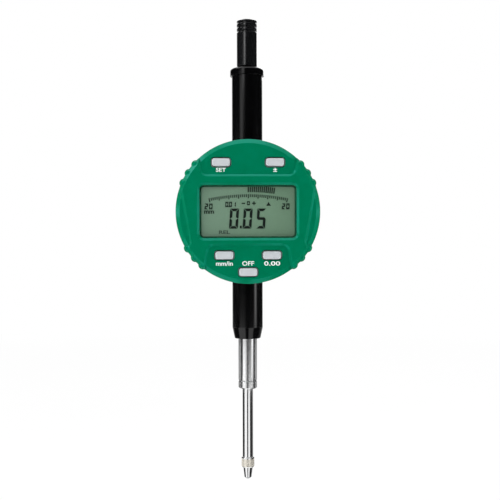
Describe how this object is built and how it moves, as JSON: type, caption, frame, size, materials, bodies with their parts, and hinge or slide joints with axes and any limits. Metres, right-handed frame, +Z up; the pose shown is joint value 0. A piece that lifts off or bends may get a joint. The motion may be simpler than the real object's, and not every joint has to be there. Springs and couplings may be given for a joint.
{
  "type": "digital dial indicator",
  "caption": "Round green display head with keys on a black tubular frame; a sprung spindle with a ball contact slides through a clamping stem.",
  "frame": {"origin": "on the spindle axis, at the middle of the clamping stem", "axes": "+Z up the spindle, +X to the right of the face, the face looks along -Y"},
  "size_m": [0.0595, 0.0425, 0.1979],
  "materials": {
    "green_case": "smooth moulded plastic, green",
    "clear_window": "clear, polished",
    "display": "reflective display glass, grey-green",
    "black_plastic": "satin moulded plastic, black",
    "rubber_strip": "conductive rubber",
    "circuit_board": "solder mask, green",
    "steel": "machined steel",
    "ground_steel": "ground and polished steel",
    "nickel": "nickel plated",
    "black_tube": "black anodised, satin",
    "bronze": "bearing bronze",
    "key_plastic": "moulded plastic, light grey",
    "slide_plastic": "low friction plastic",
    "cable": "flat ribbon film",
    "chip": "moulded chip and socket"
  },
  "bodies": {
    "frame": {"frame_body": "black_plastic", "friction_washer": "slide_plastic", "turn_ring": "steel", "turn_ring_screws": "steel", "reader_board": "circuit_board", "reader_chips": "chip", "reader_screws": "steel", "display_cable": "cable", "battery": "steel", "battery_contacts": "bronze", "back_cover": "black_plastic", "back_screws": "steel", "upper_tube": "black_tube", "upper_end_cap": "black_tube", "upper_bush": "bronze", "lower_tube": "black_tube", "stem": "ground_steel", "stem_bush_upper": "bronze", "stem_bush_lower": "bronze", "return_spring": "steel"},
    "head": {"front_case": "green_case", "display_window": "clear_window", "display_glass": "display", "display_holder": "black_plastic", "contact_strips": "rubber_strip", "display_board": "circuit_board", "display_board_screws": "steel", "dome_switches": "steel", "cable_socket": "chip", "head_back": "black_plastic", "head_screws": "steel"},
    "spindle_unit": {"spindle": "ground_steel", "scale_carrier": "black_plastic", "scale_strip": "circuit_board", "carrier_screws": "steel", "guide_pin": "steel", "lifting_cap": "black_tube", "contact_point": "nickel", "contact_ball": "ground_steel"},
    "door": {"battery_door": "black_plastic"},
    "key_upper_left": {"key_upper_left": "key_plastic"},
    "key_upper_right": {"key_upper_right": "key_plastic"},
    "key_lower_left": {"key_lower_left": "key_plastic"},
    "key_lower_right": {"key_lower_right": "key_plastic"},
    "key_bottom": {"key_bottom": "key_plastic"}
  },
  "joints": [
    {"name": "spindle_slide", "type": "slide", "parent": "frame", "child": "spindle_unit", "axis": [0, 0, 1], "range_m": [0, 0.0254], "stiffness_N_per_m": 30, "springref_m": -0.05, "deforming": ["return_spring"]},
    {"name": "head_turn", "type": "hinge", "parent": "frame", "child": "head", "pos_m": [0, 0, 0.065], "axis": [0, -1, 0], "range_deg": [-135, 135]},
    {"name": "battery_door_turn", "type": "hinge", "parent": "frame", "child": "door", "pos_m": [0.0152, 0, 0.065], "axis": [0, -1, 0], "range_deg": [0, 60]},
    {"name": "key_upper_left_press", "type": "slide", "parent": "head", "child": "key_upper_left", "axis": [0, 1, 0], "range_m": [0, 0.0005], "stiffness_N_per_m": 2000, "springref_m": -0.0002},
    {"name": "key_upper_right_press", "type": "slide", "parent": "head", "child": "key_upper_right", "axis": [0, 1, 0], "range_m": [0, 0.0005], "stiffness_N_per_m": 2000, "springref_m": -0.0002},
    {"name": "key_lower_left_press", "type": "slide", "parent": "head", "child": "key_lower_left", "axis": [0, 1, 0], "range_m": [0, 0.0005], "stiffness_N_per_m": 2000, "springref_m": -0.0002},
    {"name": "key_lower_right_press", "type": "slide", "parent": "head", "child": "key_lower_right", "axis": [0, 1, 0], "range_m": [0, 0.0005], "stiffness_N_per_m": 2000, "springref_m": -0.0002},
    {"name": "key_bottom_press", "type": "slide", "parent": "head", "child": "key_bottom", "axis": [0, 1, 0], "range_m": [0, 0.0005], "stiffness_N_per_m": 2000, "springref_m": -0.0002}
  ]
}
